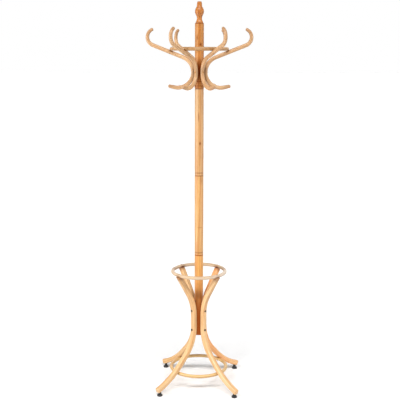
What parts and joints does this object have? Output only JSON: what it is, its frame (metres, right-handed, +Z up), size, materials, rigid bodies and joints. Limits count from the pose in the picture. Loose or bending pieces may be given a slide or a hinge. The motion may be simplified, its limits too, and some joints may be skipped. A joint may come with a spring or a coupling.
{
  "type": "coat stand",
  "caption": "Bentwood hat and coat stand: a turned pole with a finial, curved arms with upper and lower hooks under a crown ring, an umbrella ring, splayed legs, a base ring and levelling feet.",
  "frame": {"origin": "on the floor, under the axis of the pole", "axes": "+Z up along the pole; +X to the viewer's right and +Y away from the viewer, in the view that the picture shows"},
  "size_m": [0.5032, 0.4444, 1.8679],
  "materials": {
    "pole_wood": "clear satin lacquer",
    "crown_wood": "clear satin lacquer",
    "arm_wood": "clear satin lacquer",
    "leg_wood": "clear satin lacquer",
    "ring_wood": "clear satin lacquer",
    "screw_brass": "plated, dull",
    "bolt_black": "black oxide",
    "stud_steel": "zinc plated",
    "insert_steel": "zinc plated",
    "foot_plastic": "moulded matt black"
  },
  "bodies": {
    "stand": {"arm_1": "arm_wood", "arm_2": "arm_wood", "arm_3": "arm_wood", "arm_4": "arm_wood", "arm_5": "arm_wood", "arm_6": "arm_wood", "arm_screws": "screw_brass", "base_ring": "ring_wood", "base_ring_screws": "screw_brass", "crown_ring": "ring_wood", "crown_ring_screws": "screw_brass", "crown_section": "crown_wood", "finial": "crown_wood", "finial_stud": "stud_steel", "foot_inserts": "insert_steel", "leg_1": "leg_wood", "leg_2": "leg_wood", "leg_3": "leg_wood", "leg_4": "leg_wood", "leg_bolt_inserts": "insert_steel", "leg_bolts": "bolt_black", "lower_section": "pole_wood", "middle_section": "pole_wood", "section_inserts": "insert_steel", "section_studs": "stud_steel", "umbrella_ring": "ring_wood", "umbrella_ring_screws": "screw_brass", "upper_section": "pole_wood"},
    "levelling_foot_1": {"foot_1": "foot_plastic", "foot_stud_1": "stud_steel"},
    "levelling_foot_2": {"foot_2": "foot_plastic", "foot_stud_2": "stud_steel"},
    "levelling_foot_3": {"foot_3": "foot_plastic", "foot_stud_3": "stud_steel"},
    "levelling_foot_4": {"foot_4": "foot_plastic", "foot_stud_4": "stud_steel"}
  },
  "joints": [
    {"name": "foot_1_adjust", "type": "slide", "parent": "stand", "child": "levelling_foot_1", "axis": [0, 0, -1], "range_m": [0, 0.008]},
    {"name": "foot_2_adjust", "type": "slide", "parent": "stand", "child": "levelling_foot_2", "axis": [0, 0, -1], "range_m": [0, 0.008]},
    {"name": "foot_3_adjust", "type": "slide", "parent": "stand", "child": "levelling_foot_3", "axis": [0, 0, -1], "range_m": [0, 0.008]},
    {"name": "foot_4_adjust", "type": "slide", "parent": "stand", "child": "levelling_foot_4", "axis": [0, 0, -1], "range_m": [0, 0.008]}
  ]
}
